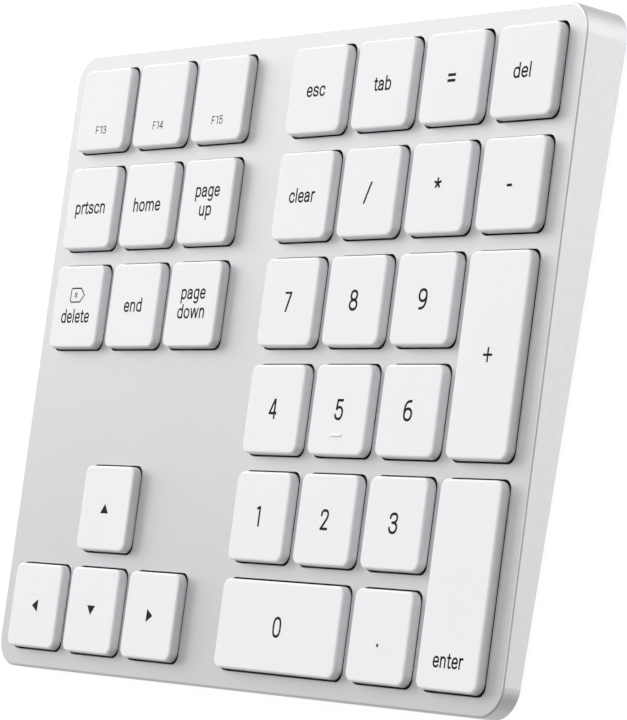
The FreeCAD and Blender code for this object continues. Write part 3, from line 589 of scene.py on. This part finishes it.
def m_key():
    g = Graph("key_plastic")
    big = g.noise(60.0, 2.0, 0.5)
    fine = g.noise(3600.0, 2.0, 0.55)
    mid = g.noise(520.0, 3.0, 0.5)
    fac = g.math("ADD", g.span(big, 0.3, 0.7, 0.35, 0.65), g.span(fine, 0.3, 0.7, -0.2, 0.2))
    g.colour(g.mix(fac, grey(0.868, (0.988, 1.0, 1.014)), grey(0.892, (0.989, 1.0, 1.013))))
    # finger-polished middle of each face, duller towards its edges
    sep = g.node("ShaderNodeSeparateXYZ")
    g.link(g.coord.outputs["Generated"], sep.inputs[0])
    dx = g.math("MULTIPLY_ADD", sep.outputs["X"], 2.0, -1.0)
    dy = g.math("MULTIPLY_ADD", sep.outputs["Y"], 2.0, -1.0)
    r2 = g.math("ADD", g.math("MULTIPLY", dx, dx), g.math("MULTIPLY", dy, dy))
    worn = g.span(r2, 0.05, 1.1, 0.40, 0.50, True)
    g.rough(g.math("ADD", worn, g.span(mid, 0.3, 0.7, -0.025, 0.025)))
    n = g.bump(fine, 0.14, 0.00003)
    g.normal(g.bump(mid, 0.04, 0.00006, n))
    g.bsdf.inputs["Specular IOR Level"].default_value = 0.42
    return g.mat


def m_ink():
    g = Graph("legend_ink")
    fine = g.noise(9000.0, 2.0, 0.6)
    g.colour(g.mix(g.span(fine, 0.3, 0.7, 0.0, 1.0), grey(0.0045), grey(0.0080)))
    g.rough(g.span(fine, 0.3, 0.7, 0.56, 0.68))
    g.normal(g.bump(fine, 0.1, 0.00001))
    g.bsdf.inputs["Specular IOR Level"].default_value = 0.12
    return g.mat


def m_plastic(name, lo, hi, r0, r1, scale=2600.0, bump=0.16):
    g = Graph(name)
    big = g.noise(70.0, 3.0, 0.5)
    fine = g.noise(scale, 3.0, 0.6)
    g.colour(g.mix(g.math("ADD", g.span(big, 0.3, 0.7, 0.2, 0.8), g.span(fine, 0.3, 0.7, -0.2, 0.2)), lo, hi))
    g.rough(g.math("ADD", g.span(fine, 0.3, 0.7, r0, r1), g.span(big, 0.3, 0.7, -0.02, 0.02)))
    g.normal(g.bump(fine, bump, 0.00005))
    return g.mat


def m_metal(name, lo, hi, r0, r1, stretch=None, scale=900.0, bump=0.08):
    g = Graph(name)
    big = g.noise(120.0, 3.0, 0.5)
    fine = g.noise(scale, 3.0, 0.6, stretch=stretch)
    g.colour(g.mix(g.math("ADD", g.span(big, 0.3, 0.7, 0.15, 0.85), g.span(fine, 0.3, 0.7, -0.15, 0.15)), lo, hi))
    g.bsdf.inputs["Metallic"].default_value = 1.0
    g.rough(g.math("ADD", g.span(fine, 0.3, 0.7, r0, r1), g.span(big, 0.3, 0.7, -0.03, 0.03)))
    g.normal(g.bump(fine, bump, 0.00003))
    return g.mat


def m_film(name, lo, hi, lines):
    g = Graph(name)
    big = g.noise(300.0, 3.0, 0.5)
    wave = g.node("ShaderNodeTexWave", wave_type="BANDS", bands_direction="Y")
    g.put(wave, Scale=lines, Distortion=0.4, Detail=1.0)
    g.link(g.coord.outputs["Object"], wave.inputs["Vector"])
    g.colour(g.mix(g.math("MULTIPLY", g.span(wave.outputs["Fac"], 0.80, 0.92, 0.0, 1.0), g.span(big, 0.4, 0.6, 0.3, 1.0)),
                   lo, hi))
    g.rough(g.span(big, 0.3, 0.7, 0.30, 0.42))
    g.normal(g.bump(big, 0.05, 0.00004))
    return g.mat


def m_board():
    g = Graph("circuit_board")
    big = g.noise(500.0, 2.0, 0.5)
    v = g.node("ShaderNodeTexVoronoi", feature="DISTANCE_TO_EDGE")
    g.put(v, Scale=420.0)
    g.link(g.coord.outputs["Object"], v.inputs["Vector"])
    trace = g.span(v.outputs["Distance"], 0.04, 0.09, 1.0, 0.0)
    g.colour(g.mix(g.math("MULTIPLY", trace, 0.6), g.mix(big, (0.008, 0.075, 0.045), (0.012, 0.10, 0.06)),
                   (0.03, 0.20, 0.11)))
    g.rough(g.span(big, 0.3, 0.7, 0.22, 0.34))
    g.normal(g.bump(trace, 0.2, 0.00004))
    g.bsdf.inputs["Coat Weight"].default_value = 0.3
    g.bsdf.inputs["Coat Roughness"].default_value = 0.15
    return g.mat


def m_foil():
    g = Graph("battery_foil")
    wr = g.noise(240.0, 4.0, 0.55, distortion=0.6)
    fine = g.noise(2400.0, 2.0, 0.5)
    g.colour(g.mix(wr, (0.52, 0.53, 0.55), (0.66, 0.67, 0.69)))
    g.bsdf.inputs["Metallic"].default_value = 1.0
    g.rough(g.span(fine, 0.3, 0.7, 0.26, 0.34))
    g.normal(g.bump(wr, 0.25, 0.0002))
    return g.mat


def m_leads():
    g = Graph("lead_insulation")
    fine = g.noise(1800.0, 3.0, 0.5)
    g.colour(g.mix(fine, (0.42, 0.012, 0.012), (0.52, 0.020, 0.018)))
    g.rough(g.span(fine, 0.3, 0.7, 0.38, 0.5))
    g.normal(g.bump(fine, 0.1, 0.00004))
    return g.mat


def m_light_pipe():
    g = Graph("light_pipe_plastic")
    fine = g.noise(2500.0, 2.0, 0.5)
    g.colour(g.mix(fine, (0.80, 0.84, 0.82), (0.86, 0.89, 0.87)))
    g.rough(g.span(fine, 0.3, 0.7, 0.10, 0.18))
    g.normal(g.bump(fine, 0.05, 0.00003))
    g.bsdf.inputs["Transmission Weight"].default_value = 0.35
    g.bsdf.inputs["IOR"].default_value = 1.49
    return g.mat


MATS = {
    "anodised_case": m_anodised(),
    "key_plastic": m_key(),
    "cover_plastic": m_plastic("cover_plastic", grey(0.52, (0.99, 1.0, 1.012)), grey(0.57, (0.99, 1.0, 1.012)), 0.44,
                               0.54),
    "plate_steel": m_metal("plate_steel", grey(0.38), grey(0.50), 0.30, 0.44, stretch=(1.0, 0.08, 1.0)),
    "membrane_film": m_film("membrane_film", grey(0.010), grey(0.016), 260.0),
    "membrane_clear": m_film("membrane_clear", (0.50, 0.52, 0.49), (0.62, 0.62, 0.60), 340.0),
    "dome_rubber": m_plastic("dome_rubber", (0.60, 0.60, 0.58), (0.68, 0.68, 0.66), 0.40, 0.52),
    "scissor_plastic": m_plastic("scissor_plastic", (0.70, 0.70, 0.69), (0.76, 0.76, 0.75), 0.28, 0.36, bump=0.06),
    "spring_wire": m_metal("spring_wire", grey(0.46), grey(0.58), 0.18, 0.28),
    "circuit_board": m_board(),
    "shield_metal": m_metal("shield_metal", grey(0.55), grey(0.66), 0.24, 0.36),
    "battery_foil": m_foil(),
    "lead_insulation": m_leads(),
    "port_steel": m_metal("port_steel", grey(0.60), grey(0.70), 0.14, 0.22, scale=1500.0, bump=0.04),
    "black_plastic": m_plastic("black_plastic", grey(0.012), grey(0.020), 0.36, 0.46),
    "light_pipe_plastic": m_light_pipe(),
    "foot_rubber": m_plastic("foot_rubber", grey(0.13), grey(0.17), 0.62, 0.76, scale=1600.0, bump=0.35),
    "screw_steel": m_metal("screw_steel", grey(0.10), grey(0.16), 0.26, 0.36, scale=1600.0),
}
INK = m_ink()

SLOT_OF = {
    "top_case": "anodised_case", "bottom_cover": "cover_plastic", "support_plate": "plate_steel",
    "membrane_top_layer": "membrane_film", "membrane_spacer_layer": "membrane_clear",
    "membrane_bottom_layer": "membrane_clear", "rubber_domes": "dome_rubber",
    "scissor_outer_frames": "scissor_plastic", "scissor_inner_frames": "scissor_plastic",
    "stabiliser_wire_0": "spring_wire", "stabiliser_wire_plus": "spring_wire", "stabiliser_wire_enter": "spring_wire",
    "control_board": "circuit_board", "wireless_module": "shield_metal", "battery_pack": "battery_foil",
    "battery_leads": "lead_insulation", "usb_c_shell": "port_steel", "usb_c_tongue": "black_plastic",
    "power_switch_body": "black_plastic", "power_switch_knob": "black_plastic",
    "status_light_pipe": "light_pipe_plastic", "membrane_connector": "black_plastic", "rubber_feet": "foot_rubber",
    "case_screws": "screw_steel", "plate_screws": "screw_steel", "board_screws": "screw_steel",
}
for name, obj in NODES.items():
    slot = SLOT_OF.get(name, "key_plastic")
    if not obj.material_slots:
        obj.data.materials.append(MATS[slot])
    for s in obj.material_slots:
        s.material = MATS[slot]

# ------------------------------------------------------------------ legends
STEP = 0.022
for key, ((c, r), strokes, solids) in LEGENDS.items():
    x = float(np.interp(c, range(7), COL_X)) if c != 3.5 else (COL_X[3] + COL_X[4]) / 2
    y = float(np.interp(r, range(6), ROW_Y))
    loops = outlines(*field(strokes, solids, STEP))
    loops = [simplify(lp, 0.0022) for lp in loops]
    loops = [lp for lp in loops if len(lp) > 2]
    me = legend_mesh("legend_" + key[4:], loops, x, y, KEY_FACE - 0.02, KEY_FACE + 0.012)
    ob = bpy.data.objects.new("legend_" + key[4:], me)
    scene.collection.objects.link(ob)
    me.materials.append(INK)
    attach(ob, key)

# ------------------------------------------------------------------ under the keys
# Every key has its own dome and its own pair of scissor frames, which keep exactly their CAD shape.
centres = []
for key, ((c, r), strokes, solids) in LEGENDS.items():
    x = float(np.interp(c, range(7), COL_X)) if c != 3.5 else (COL_X[3] + COL_X[4]) / 2
    centres.append((x, float(np.interp(r, range(6), ROW_Y))))
assert len(centres) == 34


def split_by_key(node, stem):
    """One closed piece per key from a node that holds one solid per key."""
    src = NODES[node].data
    src.calc_loop_triangles()
    co = np.empty(len(src.vertices) * 3)
    src.vertices.foreach_get("co", co)
    tri = np.empty(len(src.loop_triangles) * 3, np.int32)
    src.loop_triangles.foreach_get("vertices", tri)
    co, weld = np.unique(co.reshape(-1, 3), axis=0, return_inverse=True)
    tri = weld.reshape(-1)[tri].reshape(-1, 3)
    tri = tri[(tri[:, 0] != tri[:, 1]) & (tri[:, 1] != tri[:, 2]) & (tri[:, 2] != tri[:, 0])]
    at = to_row([(x, y, 0.0) for x, y in centres])
    mid = co[tri].mean(1)
    owner = np.argmin(((mid[:, None, :2] - at[None, :, :2]) ** 2).sum(2), 1)
    for k, key in enumerate(LEGENDS):
        own = tri[owner == k]
        used, index = np.unique(own, return_inverse=True)
        mesh = bpy.data.meshes.new(stem + key[4:])
        mesh.from_pydata([tuple(v) for v in co[used]], [], [tuple(int(i) for i in t) for t in index.reshape(-1, 3)])
        mesh.validate()
        mesh.shade_smooth()
        mesh.set_sharp_from_angle(angle=math.radians(32))
        mesh.materials.append(MATS[SLOT_OF[node]])
        piece = bpy.data.objects.new(stem + key[4:], mesh)
        scene.collection.objects.link(piece)
        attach(piece, "housing")
        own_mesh(piece)
        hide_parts(node)


split_by_key("rubber_domes", "rubber_dome_")
split_by_key("scissor_outer_frames", "scissor_outer_")
split_by_key("scissor_inner_frames", "scissor_inner_")

# ------------------------------------------------------------------ floor
fm = Graph("floor_white")
fm.t.nodes.remove(fm.bsdf)
emit = fm.node("ShaderNodeEmission")
emit.inputs["Color"].default_value = (1.0, 1.0, 1.0, 1.0)
emit.inputs["Strength"].default_value = 0.93
diff = fm.node("ShaderNodeBsdfDiffuse")
diff.inputs["Color"].default_value = (0.12, 0.12, 0.12, 1.0)
add = fm.node("ShaderNodeAddShader")
fm.link(emit.outputs[0], add.inputs[0])
fm.link(diff.outputs[0], add.inputs[1])
clear = fm.node("ShaderNodeBsdfTransparent")
geo = fm.node("ShaderNodeNewGeometry")
pick = fm.node("ShaderNodeMixShader")
fm.link(geo.outputs["Backfacing"], pick.inputs[0])
fm.link(add.outputs[0], pick.inputs[1])
fm.link(clear.outputs[0], pick.inputs[2])
fm.link(pick.outputs[0], fm.out.inputs["Surface"])
me = bpy.data.meshes.new("floor")
s = 6.0
me.from_pydata([(-s, -s, 0), (s, -s, 0), (s, s, 0), (-s, s, 0)], [], [(0, 1, 2, 3)])
floor = bpy.data.objects.new("floor", me)
scene.collection.objects.link(floor)
me.materials.append(fm.mat)
floor.visible_diffuse = False
floor.visible_glossy = False
floor.visible_transmission = False
floor.visible_shadow = False

# ------------------------------------------------------------------ light
world = bpy.data.worlds.new("studio")
scene.world = world
world.use_nodes = True
wt = world.node_tree
wt.nodes.clear()


class WorldGraph(Graph):
    def __init__(self, tree):
        self.t = tree
        self.out = tree.nodes.new("ShaderNodeOutputWorld")
        self.coord = tree.nodes.new("ShaderNodeTexCoord")


wg = WorldGraph(wt)
sep = wg.node("ShaderNodeSeparateXYZ")
wg.link(wg.coord.outputs["Generated"], sep.inputs[0])
X, Y, Z = sep.outputs["X"], sep.outputs["Y"], sep.outputs["Z"]
# soft lights: a broad low one to the left, weaker ones overhead and high behind,
# an even fill, little from the user's side, and a pale room below the table
# line that is brighter to the right rear
upper = wg.span(Z, -0.06, 0.06, 0.0, 1.0, True)


def both(u, v):
    return wg.math("MULTIPLY", u, v)


low = wg.span(Z, 0.40, 0.65, 1.0, 0.0, True)
high = wg.span(Z, 0.40, 0.65, 0.0, 1.0, True)
west = both(wg.span(X, -0.75, -0.25, 1.0, 0.0, True), low)
left = both(west, wg.span(Y, -0.25, 0.45, 0.0, 1.0, True))
beside = both(west, wg.span(Y, -0.25, 0.45, 1.0, 0.0, True))
far = both(wg.span(Y, 0.10, 0.60, 0.0, 1.0, True), high)
overhead = wg.span(Z, 0.60, 1.00, 0.0, 1.0, True)
room = wg.math("ADD", wg.math("MULTIPLY", wg.span(Y, -0.30, 0.30, 0.0, 1.0, True), 1.29), -0.35)
room = wg.math("ADD", both(room, wg.span(X, 0.0, 0.5, 0.0, 1.0, True)), 0.80)
level = both(wg.math("SUBTRACT", 1.0, upper), room)
for part, strength in ((left, 3.66), (beside, 0.58), (far, 1.26), (overhead, 0.98), (upper, 0.18)):
    level = wg.math("ADD", level, both(wg.math("MULTIPLY", part, strength), upper))
bg = wg.node("ShaderNodeBackground")
bg.inputs["Color"].default_value = (1.0, 1.0, 1.0, 1.0)
wg.link(level, bg.inputs["Strength"])
white = wg.node("ShaderNodeBackground")
white.inputs["Color"].default_value = (1.0, 1.0, 1.0, 1.0)
white.inputs["Strength"].default_value = 1.0
lp = wg.node("ShaderNodeLightPath")
mixs = wg.node("ShaderNodeMixShader")
wg.link(lp.outputs["Is Camera Ray"], mixs.inputs[0])
wg.link(bg.outputs[0], mixs.inputs[1])
wg.link(white.outputs[0], mixs.inputs[2])
wg.link(mixs.outputs[0], wg.out.inputs["Surface"])

# a nearer panel behind and to the left
panel = bpy.data.lights.new("panel", "AREA")
panel.shape = "SQUARE"
panel.size = 0.80
panel.energy = 1.23
panel.color = (1.0, 1.0, 1.0)
lamp = bpy.data.objects.new("panel", panel)
scene.collection.objects.link(lamp)
lamp.location = (-0.50, 0.60, 0.70)
lamp.rotation_euler = (Vector((-0.50, 0.60, 0.70))).to_track_quat("Z", "Y").to_euler()

scene.view_settings.view_transform = "Standard"
scene.view_settings.look = "None"
scene.view_settings.exposure = 0.0
scene.view_settings.gamma = 1.0

# ------------------------------------------------------------------ camera
cam = bpy.data.cameras.new("camera")
camera = bpy.data.objects.new("camera", cam)
scene.collection.objects.link(camera)
cam.sensor_fit = "AUTO"
cam.sensor_width = 36.0
cam.lens = 193.61552536659377
cam.shift_x = 0.007174032109834864
cam.shift_y = 0.023990887618352177
cam.clip_start, cam.clip_end = 0.01, 50.0
R = Matrix(((0.5993549138936038, -0.002364378747853224, 0.800479916615481),
            (0.16897274419356634, 0.977836407413796, -0.12362917154044271),
            (-0.7824460996843722, 0.20935703964571462, 0.5864705713328644)))
camera.matrix_world = Matrix.Translation((0.5512699239359701, -0.0870333671737036, 0.40215404892589174)) @ R.to_4x4()
scene.camera = camera
